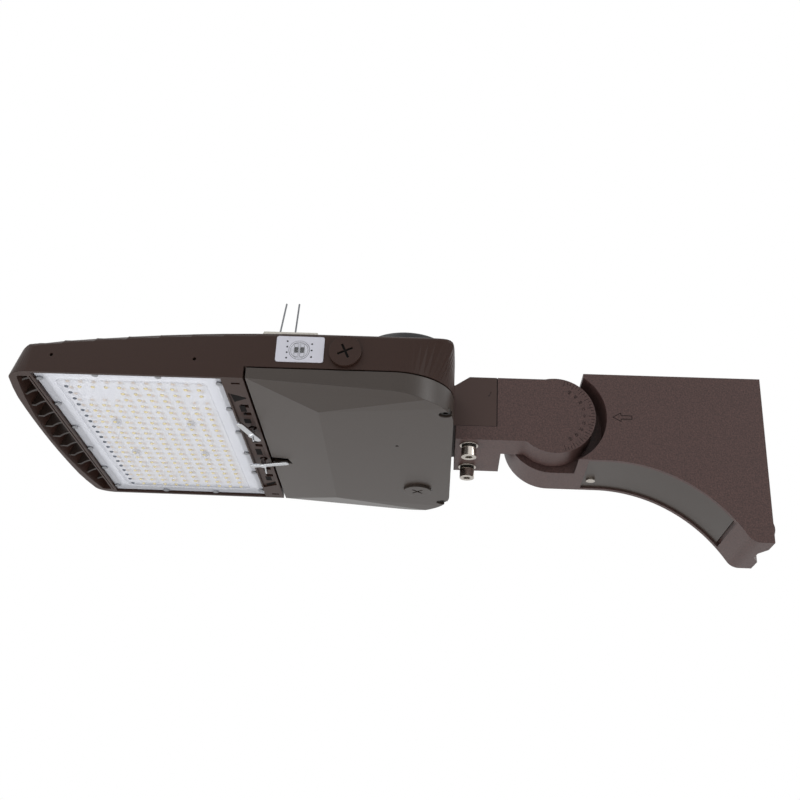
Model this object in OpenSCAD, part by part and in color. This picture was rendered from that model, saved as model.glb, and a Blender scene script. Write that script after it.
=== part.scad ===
// Shoebox area light on an adjustable pole bracket.
// Sizes are millimetres. Every module is drawn about the knuckle axis (x = 0, z = 0), and
// from_pole() then moves it so that the origin is the centre of the pole face.
// +X points out of the pole face, +Z up, and -Y is the side that carries the label.

/* [Head] */
// Width of the head
head_w = 280; // [230:1:340]
// Length of the head, from its back wall to the tip of the front lip
head_l = 361; // [300:1:440]
// Height of the side wall at the back, from the lens plane to the top
head_h = 41.5; // [36:0.5:56]
// Thickness of the side walls
wall_t = 5; // [3.5:0.5:6]
// Thickness of the roof of the driver box
roof_t = 4; // [3:0.5:6]
// Plan radius of the back corners
back_r = 50; // [36:1:60]
// Plan radius of the front corners
front_r = 14; // [8:1:20]
// Radius of the bowed front lip, in plan
bow_r = 1000; // [800:10:1400]
// Radius of the rounded top edge
edge_r = 4; // [3:0.5:5]
// Radius of the long curve that the top follows towards the front
crown_r = 1760; // [1500:10:2400]
// How far behind the front tip that curve starts
crown_l = 253; // [210:1:290]
// Radius of the nose above the front lip
nose_r = 24; // [18:1:28]

/* [Optical chamber] */
// Thickness of the front lip
lip_t = 4.5; // [3.5:0.5:6]
// Distance from the front tip to the back of the air slot
slot_reach = 19.3; // [17:0.1:24]
// Width of the rim between the air slot and the lens
rim_t = 6.7; // [5:0.1:9]
// Width of the cross beam between the lens and the driver cover
beam_l = 18; // [16:1:24]
// Number of heat sink fins
fins = 11; // [7:2:13]
// Thickness of one fin
fin_t = 2.6; // [2:0.1:4]
// Number of LED columns along the head
led_cols = 11; // [8:1:12]
// Number of LED rows across the head
led_rows = 20; // [12:2:22]
// Thickness of the lens flange
lens_t = 2; // [1.6:0.1:3]
// Depth of the lens below the rim round it
lens_sink = 2.6; // [2:0.1:4]
// Thickness of the lip beside the lens
lens_lip = 3; // [2.5:0.1:4]

/* [Driver cover] */
// Length of the driver cover
cover_l = 164; // [140:1:190]
// Depth of the cover's flat bottom below the lens plane
cover_drop = 10.8; // [8:0.1:14]
// Height of the seam above the lens plane
seam_rise = 10.1; // [8:0.1:13]
// Open gap of the seam, which holds the gasket
seam_gap = 1.2; // [1:0.1:1.6]
// Thickness of the cover
cover_t = 3; // [2.5:0.1:4]

/* [Knuckle and bracket] */
// Width of the neck, the knuckle and the bracket
neck_w = 75; // [66:1:90]
// Distance from the knuckle axis to the back wall of the head
neck_l = 88.3; // [84:0.1:110]
// Drop of the lens plane below the knuckle axis
head_drop = 22.2; // [20:0.1:26]
// Radius of the arm's disc
disc_r = 35; // [33:0.5:37]
// Radius of the bracket's ear
ear_r = 40; // [39:0.5:42]
// Distance from the knuckle axis to the pole face
reach = 178; // [160:1:220]
// Height of the pole face
face_h = 148.5; // [140:0.5:180]
// Radius of the bracket's arched underside
arch_r = 135; // [120:1:160]
// Distance between the two pole bolt holes
bolt_pitch = 80; // [63:1:90]
// Radius of the pole bolt holes
bolt_r = 5.5; // [4.5:0.25:6]

/* [Photocell] */
// Radius of the photocell at its top rim
cell_r = 40; // [36:1:44]
// Height of the photocell's top above the roof
cell_h = 57; // [45:1:70]

/* [Hidden] */

big = 400;
fit = 0.3;
$fn = 48;

// Stations along X and levels along Z, about the knuckle axis
half_w = head_w / 2;
half_neck = neck_w / 2;
x_back = -neck_l;
x_tip = x_back - head_l;
x_cover = x_back - cover_l;
cover_gap = 2;
x_beam = x_cover - cover_gap;
x_lens_b = x_beam - beam_l;
x_slot = x_tip + slot_reach;
x_lens_f = x_slot + rim_t;
x_crown = x_tip + crown_l;
z_lens = -head_drop;
z_top = z_lens + head_h;
z_seam = z_lens + seam_rise + seam_gap / 2 - 0.6;
z_cover_top = z_seam - seam_gap;
z_cover_bot = z_lens - cover_drop;
axis_x = -reach;
bracket_up = 40.5;
axis_z = face_h / 2 - bracket_up;

// Optical chamber: ledge ring, pocket of the heat sink plate, and window
ledge_w = 6.3;
z_glass = z_lens + lens_sink;
z_ledge = z_glass + lens_t + 1;
ledge_t = 1.6;
z_plate = z_ledge + ledge_t;
plate_t = 4;
z_beam_top = z_plate + plate_t + 1.6;
lens_half_w = half_w - lens_lip - 0.5;
plate_half_w = half_w - wall_t - 0.5;
lens_l = x_lens_b - x_lens_f;
lens_cx = (x_lens_b + x_lens_f) / 2;
board_t = 1.6;
chip_t = 0.8;
chip_w = 2.8;
field_l = lens_l - 43;
field_w = 2 * lens_half_w - 48.2;
led_dx = field_l / (led_cols - 1);
led_dy = field_w / (led_rows - 1);
fin_pitch = (2 * lens_half_w - 45) / (fins - 1);

// Latches
latch_x = x_beam - 6.7;
latch_y = 36;
latch_long = 26;
latch_short = 14;
latch_w = 9;
latch_t = 2.2;
z_channel = z_lens + 8;
z_latch = z_lens - 3.6;
stem_r = 2.4;
bush_r = 3.8;
near_turn = -109;
far_turn = -16.7;

// Hinge of the driver cover
hinge_x = x_back - 7.2;
hinge_z = z_cover_bot + 6;
hinge_y = half_w - back_r - 10;
hinge_w = 8;
lug_r = 3.8;
pin_r = 2;

// Neck
saddle_t = 12.5;
z_saddle = -25;
z_block = z_saddle + saddle_t;
z_neck_top = 34;
x_block = -50.5;
x_wall = x_block + 0.7;
x_wall_end = -45;
x_saddle = x_back + 2.7;
screw_x = x_back + 14.8;
screw_y = 25.5;
m8_r = 4;
m12_r = 6;
arm_in = -6;
hub_r = 30;
wire_r = 25;
boss_r = 12;
neck_hole_r = 8;
neck_hole_y = -18;
neck_hole_z = 5;
ear_in = -3;
cut_r = disc_r + 9.5;

// Label, switch and side plug on the near wall
label_l = 38;
label_hgt = 22.5;
switch_x = x_back - 123.4;
switch_z = z_top - 16.1;
window_r = 8;
plug_x = x_back - 87;
plug_z = z_top - 16.8;
plug_r = 12.9;
plug_turn = 19.6;

// Photocell
cell_x = x_back - 44;
base_h = 9;
blade_c = 11;

module from_pole() { translate([axis_x, 0, axis_z]) children(); }
module block(x0, x1, y0, y1, z0, z1) { translate([x0, y0, z0]) cube([x1 - x0, y1 - y0, z1 - z0]); }
module both_sides() { children(); mirror([0, 1, 0]) children(); }
// Cylinder along Y between y0 and y1
module bar_y(r, y0, y1, x = 0, z = 0) { translate([x, y1, z]) rotate([90, 0, 0]) cylinder(r = r, h = y1 - y0); }
// Cylinder along X between x0 and x1
module bar_x(r, x0, x1, y = 0, z = 0) { translate([x0, y, z]) rotate([0, 90, 0]) cylinder(r = r, h = x1 - x0); }
// Cylinder along Z between z0 and z1
module bar_z(r, z0, z1, x = 0, y = 0) { translate([x, y, z0]) cylinder(r = r, h = z1 - z0); }
// A profile drawn in X and Z, made solid from y0 to y1
module slab_y(y0, y1) { translate([0, y1, 0]) rotate([90, 0, 0]) linear_extrude(y1 - y0) children(); }

// ---- head form ----

// Plan outline of the head, drawn inset by i: bowed front, rounded corners
module plan2d(i = 0) {
    fy = half_w - front_r;
    fx = x_tip + bow_r - sqrt(pow(bow_r - front_r, 2) - pow(fy, 2));
    by = half_w - back_r;
    bx = x_back - back_r;
    meet = fy * bow_r / (bow_r - front_r);
    translate([fx, -half_w + i]) square([bx - fx, head_w - 2 * i]);
    translate([bx - 1, -by]) square([back_r + 1 - i, 2 * by]);
    intersection() {
        translate([x_tip + bow_r, 0]) circle(r = bow_r - i, $fn = 720);
        translate([x_tip - 1, -meet]) square([fx - x_tip + 2, 2 * meet]);
    }
    for (s = [-1, 1]) {
        translate([bx, s * by]) circle(r = back_r - i, $fn = 96);
        translate([fx, s * fy]) circle(r = front_r - i);
    }
}

// Flat-topped rear half with a rounded top edge that also follows the back corners
module rear_form() {
    by = half_w - back_r;
    bx = x_back - back_r;
    zr = z_top - edge_r;
    x0 = x_crown;
    difference() {
        translate([0, 0, z_lens - 1]) linear_extrude(zr - z_lens + 1) plan2d();
        block(x_tip - 2, x0, -big, big, -big, big);
    }
    difference() {
        translate([0, 0, zr - 1]) linear_extrude(edge_r + 1) plan2d(edge_r);
        block(x_tip - 2, x0, -big, big, -big, big);
    }
    for (s = [-1, 1]) {
        bar_x(edge_r, x0, bx, s * (half_w - edge_r), zr);
        translate([bx, s * by, zr]) rotate([0, 0, s > 0 ? 0 : -90])
            rotate_extrude(angle = 90, $fn = 96) translate([back_r - edge_r, 0]) circle(r = edge_r);
    }
    bar_y(edge_r, -by, by, x_back - edge_r, zr);
}

// Front half: the cross-section of the head swept along the long crown curve
module front_form() {
    sweep = asin((crown_l + 4) / crown_r);
    translate([x_crown, 0, z_top - crown_r]) rotate([90, 0, 0]) rotate([0, 0, 90])
        rotate_extrude(angle = sweep, $fn = 720) {
            translate([crown_r - 90, -half_w]) square([90 - edge_r, head_w]);
            translate([crown_r - edge_r - 1, -half_w + edge_r]) square([edge_r + 1, head_w - 2 * edge_r]);
            for (s = [-1, 1]) translate([crown_r - edge_r, s * (half_w - edge_r)]) circle(r = edge_r);
        }
}

// Side profile that cuts the rounded nose
module nose2d() {
    zc = z_lens + 2.2;
    difference() {
        translate([x_tip, z_lens]) square([head_l, head_h + 1]);
        difference() {
            translate([x_tip - 1, zc]) square([nose_r + 1, head_h]);
            translate([x_tip + nose_r, zc]) circle(r = nose_r, $fn = 96);
        }
    }
}

module head_form() {
    intersection() {
        translate([0, 0, z_lens - 1]) linear_extrude(head_h + 2) plan2d();
        slab_y(-half_w - 1, half_w + 1) nose2d();
        union() { rear_form(); front_form(); }
    }
}

// ---- housing ----

// Hinge lug that hangs into the driver cover, at y
module hinge_lug(y) {
    y0 = y - hinge_w / 2;
    y1 = y + hinge_w / 2;
    block(hinge_x - lug_r, hinge_x + lug_r, y0, y1, hinge_z, z_seam + 1);
    bar_y(lug_r, y0, y1, hinge_x, hinge_z);
    block(hinge_x, x_back - 0.6, y0, y1, hinge_z + 6, z_seam + 1);
    block(hinge_x - lug_r, x_back - wall_t + 1, y0, y1, z_seam, z_seam + 12);
}

module neck_block() {
    slab_y(-half_neck, half_neck)
        polygon([[x_back - 2, z_block + fit], [x_block, z_block + fit], [x_block, z_neck_top],
                 [x_back + 14, z_neck_top], [x_back + 1.5, z_neck_top - 8.5], [x_back - 2, z_neck_top - 8.5]]);
}

// Recess of the latch channel in the cross beam, seen from below, with slanted ends
module latch_channel() {
    near = half_w - 29.5;
    slant = 8;
    translate([0, 0, z_lens - 1]) linear_extrude(9)
        polygon([[x_lens_b + 1.6, -near], [x_beam - 2.6, -near + slant],
                 [x_beam - 2.6, near - slant], [x_lens_b + 1.6, near]]);
}

module housing() {
    color("#4a3c38") from_pole() difference() {
        union() {
            difference() {
                head_form();
                // Driver side of the seam
                block(x_beam, x_back + 1, -big, big, -big, z_seam);
                // Well of the heat sink, open at the top
                intersection() {
                    translate([0, 0, z_beam_top]) linear_extrude(head_h) plan2d(lip_t);
                    block(x_tip - 1, x_beam, -half_w + wall_t, half_w - wall_t, -big, big);
                }
                // Pocket of the heat sink plate, window and lens recess
                block(x_lens_f, x_lens_b, -plate_half_w - 0.5, plate_half_w + 0.5, z_plate, z_beam_top + 1);
                block(x_lens_f + ledge_w, x_lens_b - ledge_w, -lens_half_w + ledge_w, lens_half_w - ledge_w, -big, 0);
                block(x_lens_f, x_lens_b, -lens_half_w - 0.5, lens_half_w + 0.5, z_lens - 1, z_ledge);
                // Air slot behind the front lip
                intersection() {
                    translate([0, 0, -big / 2]) linear_extrude(big) plan2d(lip_t);
                    block(x_tip - 1, x_slot, -half_w + wall_t + 4, half_w - wall_t - 4, -big, big);
                }
                // Driver bay
                intersection() {
                    translate([0, 0, z_seam - 1]) linear_extrude(z_top - roof_t - z_seam + 1) plan2d(wall_t);
                    block(x_beam + wall_t, x_back, -big, big, -big, big);
                }
                latch_channel();
                // Windows in the channel floor, beside the latches
                for (y = [-82, -66, 4, 62, 80])
                    block(latch_x - 3.5, latch_x + 3, y - 3, y + 3, z_channel - 1, z_channel + 2.5);
                // Slots in the flush corners of the beam
                for (s = [-1, 1]) block(latch_x - 4, latch_x + 3, s * (half_w - 11) - 1.5, s * (half_w - 11) + 1.5, z_lens - 1, z_lens + 2);
                // Groove that parts the slot rim from the lens rim
                block(x_slot + 2.2, x_slot + 3.4, -half_w + wall_t + 4, half_w - wall_t - 4, z_lens - 1, z_lens + 1.2);
            }
            neck_block();
            for (s = [-1, 1]) hinge_lug(s * hinge_y);
            // Boss of the photocell receptacle
            bar_z(34, z_top - 2, z_top + 1.5, cell_x, 0);
        }
        // Latch bushes
        for (s = [-1, 1]) bar_z(bush_r + 0.02, z_channel - 1, z_beam_top + 1, latch_x, s * latch_y);
        // Switch hole, conduit hole and two accessory holes in each side wall
        bar_y(window_r - 1, -half_w - 1, -half_w + wall_t + 1, switch_x, switch_z);
        bar_y(10.5, -half_w - 1, -half_w + wall_t + 1, plug_x, plug_z);
        for (x = [x_lens_f + 15, x_lens_f + 129.4])
            both_sides() bar_y(1.4, -half_w - 1, -half_w + wall_t - 1, x, z_top - 26.3);
        // Wire hole under the photocell, wire hole through the neck, screws of the saddle
        bar_z(12, z_top - roof_t - 1, z_top + 3, cell_x, 0);
        bar_x(neck_hole_r, x_back - wall_t - 1, x_block + 1, neck_hole_y, neck_hole_z);
        for (s = [-1, 1]) bar_z(m8_r + 0.02, z_block - 1, z_block + 22, screw_x, s * screw_y);
        // Small slanted dimple on the neck's near face
        translate([x_block - 6, -half_neck, 18]) rotate([0, 20, 0]) {
            translate([-0.6, -0.5, -2]) cube([1.2, 1, 4]);
            for (k = [-2, 2]) bar_y(0.6, -0.5, 0.5, 0, k);
        }
        for (s = [-1, 1]) bar_y(pin_r + 0.02, s * hinge_y - hinge_w, s * hinge_y + hinge_w, hinge_x, hinge_z);
    }
}

// ---- heat sink and light engine ----

// Side profile of one fin: flat over the plate, and down into the air slot in a curve
module fin2d() {
    z_low = z_beam_top + fit;
    difference() {
        translate([x_tip, z_lens + 2.2]) square([x_beam - fit - x_tip, head_h]);
        translate([x_slot - fit, z_lens]) square([big, z_low - z_lens]);
        translate([x_slot - 1.5, z_lens - 3]) circle(r = 9.5);
    }
}

module heat_sink() {
    color("#453b37") from_pole() {
        block(x_lens_f + fit, x_lens_b - fit, -plate_half_w, plate_half_w, z_plate, z_plate + plate_t);
        intersection() {
            translate([0, 0, z_plate]) linear_extrude(z_beam_top + fit + 0.5 - z_plate)
                translate([x_lens_f + fit, -plate_half_w]) square([lens_l - 2 * fit, 2 * plate_half_w]);
            for (k = [0 : fins - 1]) translate([0, (k - (fins - 1) / 2) * fin_pitch, 0])
                block(-big * 2, 0, -fin_t / 2, fin_t / 2, z_plate, z_beam_top + 1);
        }
        intersection() {
            translate([0, 0, -1.2]) front_form();
            translate([0, 0, z_lens]) linear_extrude(head_h) plan2d(lip_t + fit);
            slab_y(-half_w, half_w) intersection() { fin2d(); translate([1.5, -1.2]) nose2d(); }
            for (k = [0 : fins - 1]) translate([0, (k - (fins - 1) / 2) * fin_pitch, 0])
                block(-big * 2, x_crown + 8, -fin_t / 2, fin_t / 2, -big, big);
        }
    }
}

// True where the board has a blank patch in place of an LED (column c, row r, counted from 0)
function is_blank(c, r) = (c >= 1 && c <= 3 && r >= 1 && r <= 2) || (c >= 9 && r == 2);

module led_board() {
    z0 = z_plate - board_t;
    color("#e9e9ee") from_pole() difference() {
        union() {
            block(x_lens_f + ledge_w + 0.5, x_lens_b - ledge_w - 0.5,
                  -lens_half_w + ledge_w + 0.5, lens_half_w - ledge_w - 0.5, z0, z_plate);
            for (c = [0 : led_cols - 1], r = [0 : led_rows - 1]) if (!is_blank(c, r))
                translate([lens_cx + (c - (led_cols - 1) / 2) * led_dx - chip_w / 2,
                           (r - (led_rows - 1) / 2) * led_dy - chip_w / 2, z0 - chip_t])
                    cube([chip_w, chip_w, chip_t + 0.2]);
        }
        board_screw_spots() bar_z(1.7, z0 - 2, z_plate + 1);
    }
}

module board_screw_spots() {
    for (i = [-1, 1], s = [-1, 1]) translate([lens_cx + i * led_dx * 3, s * led_dy * 3, 0]) children();
}

// Places of the screws round the lens edge
module lens_screw_spots() {
    edge = 3.2;
    ny = 6;
    py = (2 * lens_half_w - 25) / (ny - 1);
    for (k = [0 : ny - 1], x = [x_lens_f + edge, x_lens_b - edge])
        translate([x, (k - (ny - 1) / 2) * py, 0]) children();
    for (i = [1, 2], s = [-1, 1])
        translate([x_lens_f + i * lens_l / 3, s * (lens_half_w - edge), 0]) children();
}

module lens() {
    step = 14;
    z1 = z_glass + lens_t;
    color("#f2f4f8", 0.45) from_pole() difference() {
        union() {
            block(x_lens_f + fit, x_lens_b - fit, -lens_half_w, lens_half_w, z_glass, z1);
            // Raised field over the LEDs, with round corners
            translate([0, 0, z_glass - 1.8]) linear_extrude(2.5) {
                fx = lens_l / 2 - step;
                fy = lens_half_w - step;
                translate([lens_cx - fx + 6, -fy]) square([2 * fx - 12, 2 * fy]);
                translate([lens_cx - fx, -fy + 6]) square([2 * fx, 2 * fy - 12]);
                for (i = [-1, 1], s = [-1, 1]) translate([lens_cx + i * (fx - 6), s * (fy - 6)]) circle(r = 6);
            }
        }
        lens_screw_spots() bar_z(1.6, z_glass - 3, z1 + 1);
        board_screw_spots() bar_z(4.2, z_glass - 3, z1 + 1);
    }
}

module lens_gasket() {
    z0 = z_glass + lens_t;
    color("#2b2b2b") from_pole() difference() {
        block(x_lens_f + fit, x_lens_b - fit, -lens_half_w, lens_half_w, z0, z_ledge);
        block(x_lens_f + ledge_w - 0.5, x_lens_b - ledge_w + 0.5,
              -lens_half_w + ledge_w - 0.5, lens_half_w - ledge_w + 0.5, z0 - 1, z_ledge + 1);
        lens_screw_spots() bar_z(1.6, z0 - 1, z_ledge + 1);
    }
}

module lens_screws() {
    color("#b8bcc2") from_pole() lens_screw_spots() {
        bar_z(2.6, z_glass - 1.6, z_glass);
        bar_z(1.5, z_glass, z_ledge - 0.1);
    }
}

module board_screws() {
    z0 = z_plate - board_t;
    color("#b8bcc2") from_pole() board_screw_spots() {
        bar_z(3, z0 - 1.8, z0);
        bar_z(1.6, z0, z_plate - 0.1);
    }
}

// ---- latches ----

module latch_bushes() {
    color("#8f9296") from_pole() for (s = [-1, 1]) translate([latch_x, s * latch_y, 0]) difference() {
        union() {
            bar_z(bush_r, z_channel, z_beam_top);
            bar_z(bush_r + 0.2, z_channel - 1.2, z_channel);
        }
        bar_z(stem_r + 0.05, z_channel - 3, z_beam_top + 1);
    }
}

// Steel bar with a long tongue and a short thumb end, on a stem with a tapered foot
module latch(turn) {
    r = latch_w / 2;
    rotate([0, 0, turn]) {
        translate([0, 0, z_latch - latch_t]) linear_extrude(latch_t) {
            translate([-latch_short + r, -r]) square([latch_long + latch_short - 2 * r, latch_w]);
            translate([-latch_short + r, 0]) circle(r = r);
            translate([latch_long - r, 0]) circle(r = r);
        }
        bar_z(stem_r, z_latch - 0.5, z_beam_top + 1);
        translate([0, 0, z_beam_top + 0.6]) cylinder(r = 4.6, h = 1.6);
        translate([0, 0, z_latch - latch_t - 7.5]) cylinder(r1 = 2.4, r2 = 6.6, h = 7.7);
    }
}

module latch_near() {
    color("#c9ccd0") from_pole() translate([latch_x, -latch_y, 0]) latch(near_turn);
}

module latch_far() {
    color("#c9ccd0") from_pole() translate([latch_x, latch_y, 0]) latch(far_turn);
}

// ---- near wall: label, switch and plug ----

module label_plate() {
    r = 2;
    y0 = -half_w - 0.6;
    color("#e8e8ec") from_pole() difference() {
        slab_y(y0, -half_w) translate([switch_x + 0.5, switch_z + 0.8]) {
            square([label_l - 2 * r, label_hgt], center = true);
            square([label_l, label_hgt - 2 * r], center = true);
            for (i = [-1, 1], k = [-1, 1])
                translate([i * (label_l / 2 - r), k * (label_hgt / 2 - r)]) circle(r = r);
        }
        bar_y(window_r + 0.3, y0 - 1, 1 - half_w, switch_x, switch_z);
    }
}

// Clear round cap: a flange on the wall and a skirt in the hole
module window_cap() {
    color("#f4f6fa", 0.4) from_pole() difference() {
        union() {
            bar_y(window_r, -half_w - 1.4, -half_w, switch_x, switch_z);
            bar_y(window_r - 1.1, -half_w, -half_w + 3.4, switch_x, switch_z);
        }
        bar_y(window_r - 2.2, -half_w - 0.4, -half_w + 5, switch_x, switch_z);
    }
}

knob_dx = 2.3;
knob_w = 2.2;
knob_y = -half_w + wall_t;
module switch_body() {
    w = knob_w / 2 + fit;
    color("#dcdde0") from_pole() difference() {
        block(switch_x - 9, switch_x + 9, knob_y, knob_y + 8, switch_z - 9, switch_z + 9);
        for (x = [switch_x - knob_dx, switch_x + knob_dx])
            block(x - w, x + w, knob_y - 1, knob_y + 3, switch_z - 5.5, switch_z + 5.5);
    }
}

module knob(i) {
    x = switch_x + i * knob_dx;
    block(x - knob_w / 2, x + knob_w / 2, knob_y - 1.2, knob_y + 2.7, switch_z - 2, switch_z + 2);
}

module power_slide() {
    color("#151515") from_pole() knob(-1);
}

module colour_slide() {
    color("#151515") from_pole() knob(1);
}

// Round conduit plug with a cross slot, drawn with its flange below z = 0 and its stem above
module plug(stem) {
    difference() {
        union() {
            translate([0, 0, -2.6]) cylinder(r = plug_r, h = 2.6);
            cylinder(r = 10.2, h = stem);
        }
        for (a = [45, 135]) rotate([0, 0, a]) translate([-6.5, -0.9, -3]) cube([13, 1.8, 2.4]);
    }
}

module side_plug() {
    color("#463a37") from_pole() translate([plug_x, -half_w - 0.8, plug_z])
        rotate([-90, 0, 0]) rotate([0, 0, plug_turn]) plug(wall_t + 4);
}

module side_plug_seal() {
    color("#202020") from_pole() difference() {
        bar_y(plug_r - 0.4, -half_w - 0.8, -half_w, plug_x, plug_z);
        bar_y(10.5, -half_w - 2, 1 - half_w, plug_x, plug_z);
    }
}

// ---- photocell ----

module receptacle() {
    z0 = z_top + 1.5;
    color("#232323") from_pole() translate([cell_x, 0, 0]) difference() {
        union() {
            bar_z(32, z0, z0 + base_h);
            bar_z(11.6, z_top - roof_t - 10, z0);
        }
        // Curved slots for the three blades, long enough for the twist
        for (a = [0, 120, 240]) rotate([0, 0, a]) translate([0, 0, z0 + base_h - 8])
            rotate_extrude(angle = 60, $fn = 96) translate([blade_c - 1.1, 0]) square([2.2, 9]);
    }
}

module photocell() {
    z0 = z_top + 1.5 + base_h + 0.4;
    z1 = z_top + cell_h;
    round = 3;
    color("#1c1c1e") from_pole() translate([cell_x, 0, 0]) rotate_extrude($fn = 96) difference() {
        union() {
            polygon([[0, z0], [cell_r + 2, z0], [cell_r + 2, z0 + 7], [cell_r + 0.5, z0 + 8],
                     [cell_r, z1 - round], [cell_r - round, z1 - round], [0, z1 - round]]);
            translate([0, z1 - round - 1]) square([cell_r - round, round + 1]);
            translate([cell_r - round, z1 - round]) circle(r = round);
        }
        translate([-10, z0 - 1]) square([10, big]);
    }
}

module photocell_blades() {
    z0 = z_top + 1.5 + base_h;
    color("#c8a24a") from_pole() translate([cell_x, 0, 0]) for (a = [0, 120, 240]) rotate([0, 0, a + 42])
        translate([0, 0, z0 - 6.5]) rotate_extrude(angle = 14, $fn = 96)
            translate([blade_c - 0.7, 0]) square([1.4, 6.9]);
}

// ---- bird strip ----

strip_l = 46;
strip_x = x_back - 132.5;
strip_y = -half_w + 7;
module spike_strip() {
    color("#d6d3c8") from_pole() slab_y(strip_y, strip_y + 12)
        polygon([[strip_x - strip_l / 2, z_top + 0.1], [strip_x + strip_l / 2, z_top + 0.1],
                 [strip_x + strip_l / 2 - 1.5, z_top + 3.6], [strip_x - strip_l / 2 + 1.5, z_top + 3.6]]);
}

module spike_wires() {
    color("#b9bcc0") from_pole() for (w = [[-9.8, 6.5], [2.6, 2.5]])
        translate([strip_x + w[0], strip_y + 6, z_top + 3.7]) rotate([0, w[1], 0]) cylinder(r = 0.7, h = 29);
}

// ---- driver bay ----

bay_x0 = x_beam + wall_t;
z_ceiling = z_top - roof_t;
driver_l = cover_l - 54;
driver_w = 66;
driver_h = 32;
driver_x = bay_x0 + 17;
driver_y = -98;
module driver() {
    zt = z_ceiling - 0.1;
    color("#c4c6c8") from_pole() {
        block(driver_x, driver_x + driver_l, driver_y, driver_y + driver_w, zt - driver_h, zt);
        for (x = [driver_x - 8, driver_x + driver_l - 0.5])
            block(x, x + 8.5, driver_y + 8, driver_y + driver_w - 8, zt - 2, zt);
    }
}

module driver_screws() {
    zt = z_ceiling - 2.1;
    color("#b8bcc2") from_pole()
        for (x = [driver_x - 4, driver_x + driver_l + 4], y = [driver_y + 16, driver_y + driver_w - 16])
            bar_z(3.5, zt - 2.2, zt, x, y);
}

module surge_protector() {
    zt = z_ceiling - 0.1;
    color("#e4e2dc") from_pole() block(bay_x0 + 24, bay_x0 + 76, 8, 38, zt - 26, zt);
}

module terminal_block() {
    zt = z_ceiling - 0.1;
    tx = x_back - wall_t - 42;
    color("#f0efe9") from_pole() difference() {
        block(tx, tx + 20, 44, 80, zt - 16, zt);
        for (k = [0 : 2]) bar_z(2.6, zt - 17, zt - 9, tx + 6, 50.5 + k * 11.5);
        for (k = [0 : 2]) bar_z(2.6, zt - 17, zt - 9, tx + 14, 50.5 + k * 11.5);
    }
}

// ---- driver cover ----

// Where the facets of the underside meet the flat bottom
ridge_x = x_cover + 55;
ridge_in = 38;
ridge_back_in = 22;

// Outer solid of the cover: plan outline, sloping skirt edge and facets
module cover_form(i = 0) {
    intersection() {
        translate([0, 0, z_cover_bot - 1]) linear_extrude(z_cover_top - z_cover_bot + 2) intersection() {
            plan2d(i);
            translate([x_cover + i, -big]) square([cover_l, 2 * big]);
        }
        cover_facets(i);
    }
}

// Convex body whose underside has a flat bottom, a front facet and two side facets
module cover_facets(i) {
    zb = z_cover_bot + i;
    zf = z_lens + i;
    zr = z_cover_bot + 0.6 + i;
    w = half_w;
    xb = x_back + 1;
    hull() {
        // Level top
        for (x = [x_cover, xb], s = [-1, 1]) translate([x, s * w, z_cover_top - 0.01]) cube(0.01);
        // Skirt edge, falling from the lens plane at the front to nearly the flat bottom at the back
        for (s = [-1, 1]) {
            translate([x_cover, s * w, zf]) cube(0.01);
            translate([xb, s * w, zr]) cube(0.01);
            translate([ridge_x, s * (w - ridge_in), zb]) cube(0.01);
            translate([xb, s * (w - ridge_back_in), zb]) cube(0.01);
        }
    }
}

module driver_cover() {
    slot_w = latch_w + 7;
    color("#5d5651") from_pole() difference() {
        union() {
            difference() {
                cover_form();
                // Hollow inside
                intersection() {
                    translate([0, 0, z_cover_bot - 1]) linear_extrude(z_cover_top - z_cover_bot + 2) intersection() {
                        plan2d(wall_t);
                        translate([x_cover + cover_t, -big]) square([cover_l, 2 * big]);
                    }
                    translate([0, 0, cover_t]) cover_facets(0);
                }
            }
            // Hinge knuckles on either side of each lug
            intersection() {
                translate([0, 0, z_cover_bot]) linear_extrude(z_cover_top - z_cover_bot) plan2d(1);
                for (s = [-1, 1], k = [-1, 1]) {
                    y = s * hinge_y + k * (hinge_w / 2 + 0.5 + 2.5);
                    bar_y(lug_r + 0.5, y - 2.5, y + 2.5, hinge_x, hinge_z);
                    block(hinge_x - lug_r - 0.5, hinge_x + lug_r + 0.5, y - 2.5, y + 2.5, z_cover_bot + 1, hinge_z);
                }
            }
            // Bosses of the corner screws
            intersection() {
                translate([0, 0, z_cover_bot]) linear_extrude(11) plan2d();
                cover_facets(0);
                for (s = [-1, 1]) bar_z(8, z_cover_bot, z_cover_bot + 9, corner_x, s * corner_y);
            }
        }
        for (s = [-1, 1]) {
            y0 = s * hinge_y - hinge_w / 2 - 0.5;
            y1 = s * hinge_y + hinge_w / 2 + 0.5;
            bar_y(pin_r + 0.06, y0 - 8, y1 + 8, hinge_x, hinge_z);
            // Room for the lug as the cover turns round it
            bar_y(lug_r + 0.5, y0, y1, hinge_x, hinge_z);
            block(hinge_x + 2, x_back + 1, y0, y1, hinge_z - lug_r + 0.2, z_cover_top + 1);
        }
        // Rounded back edge, so that it clears the housing as it turns
        hinge_sweep();
        // Slot that the far latch drops through
        translate([latch_x, latch_y, 0]) rotate([0, 0, far_turn])
            block(0, latch_long + 1.2, -latch_w / 2 - 1, latch_w / 2 + 1, -big, z_seam);
        // Conduit hole, small drain hole and the two corner screw pockets
        bar_z(10.5, -big, z_cover_top, cover_plug_x, cover_plug_y);
        bar_z(1.5, -big, z_cover_top, x_back - 47, -36);
        for (s = [-1, 1]) {
            bar_z(5.5, -big, z_cover_bot + 4.5, corner_x, s * corner_y);
            bar_z(2.02, -big, z_cover_bot + 10, corner_x, s * corner_y);
        }
    }
}

cover_plug_x = x_back - 30.3;
cover_plug_y = 70;
corner_x = x_back - back_r + (back_r - 4) * cos(19.5);
corner_y = half_w - back_r + (back_r - 4) * sin(19.5);

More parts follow.
